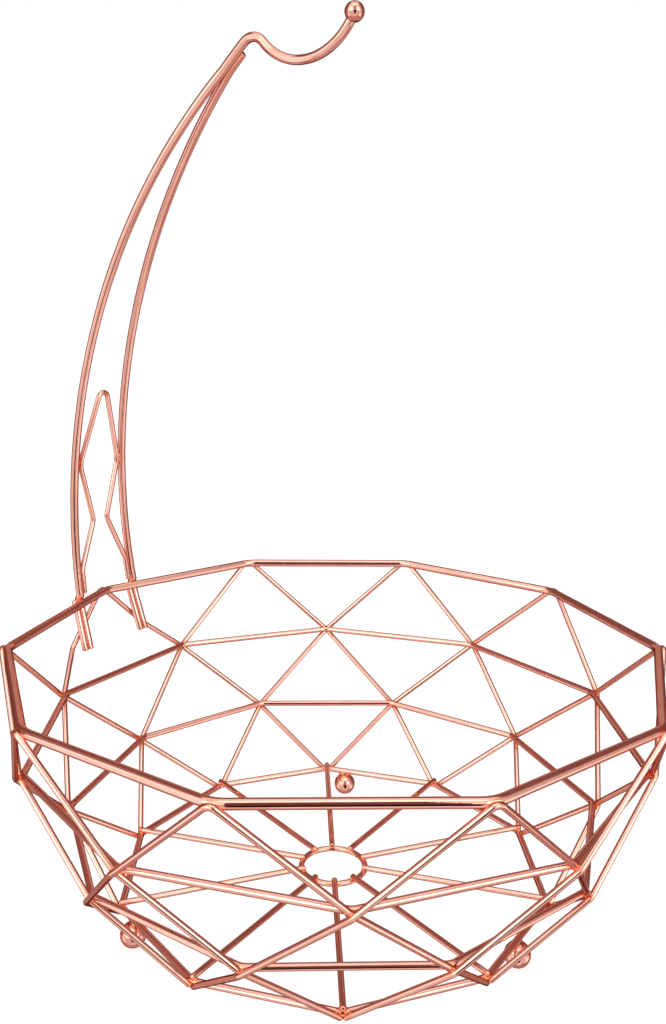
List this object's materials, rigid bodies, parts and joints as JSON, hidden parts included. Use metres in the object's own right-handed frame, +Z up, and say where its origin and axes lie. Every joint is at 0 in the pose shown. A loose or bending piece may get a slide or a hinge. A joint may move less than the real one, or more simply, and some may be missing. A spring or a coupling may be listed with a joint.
{
  "type": "wire produce basket",
  "caption": "Faceted wire bowl on ball feet for fruit and vegetables, with a lift-off hanger whose hook holds a bunch of bananas over it.",
  "frame": {"origin": "on the floor, on the bowl's vertical axis, below the middle of the hub ring", "axes": "+Z up along the bowl's axis; -X towards the rim corner that the hanger straddles; the hook is over the origin"},
  "size_m": [0.3, 0.2874, 0.3878],
  "materials": {
    "frame_wire_plating": "polished rose-gold plating",
    "slim_wire_plating": "polished rose-gold plating",
    "floor_wire_plating": "polished rose-gold plating",
    "ball_plating": "polished rose-gold plating"
  },
  "bodies": {
    "basket": {"rim_ring": "frame_wire_plating", "upper_ring": "frame_wire_plating", "lower_ring": "frame_wire_plating", "base_ring": "frame_wire_plating", "lattice_wire_01": "slim_wire_plating", "lattice_wire_02": "slim_wire_plating", "lattice_wire_03": "slim_wire_plating", "lattice_wire_04": "slim_wire_plating", "lattice_wire_05": "slim_wire_plating", "lattice_wire_06": "slim_wire_plating", "lattice_wire_07": "slim_wire_plating", "lattice_wire_08": "slim_wire_plating", "lattice_wire_09": "slim_wire_plating", "lattice_wire_10": "slim_wire_plating", "spoke_01": "floor_wire_plating", "spoke_02": "floor_wire_plating", "spoke_03": "floor_wire_plating", "spoke_04": "floor_wire_plating", "spoke_05": "floor_wire_plating", "spoke_06": "floor_wire_plating", "spoke_07": "floor_wire_plating", "spoke_08": "floor_wire_plating", "spoke_09": "floor_wire_plating", "spoke_10": "floor_wire_plating", "hub_ring": "floor_wire_plating", "foot_ball_01": "ball_plating", "foot_ball_02": "ball_plating", "foot_ball_03": "ball_plating"},
    "hanger": {"hanger_spine": "frame_wire_plating", "hanger_leg": "frame_wire_plating", "hanger_diamond": "slim_wire_plating", "hanger_pin_01": "slim_wire_plating", "hanger_pin_02": "slim_wire_plating", "hanger_pin_03": "slim_wire_plating", "hanger_pin_04": "slim_wire_plating", "hook_ball": "ball_plating"}
  },
  "joints": [
    {"name": "hanger_lift", "type": "slide", "parent": "basket", "child": "hanger", "axis": [-0.284, 0, 0.9588], "range_m": [0, 0.08]}
  ]
}
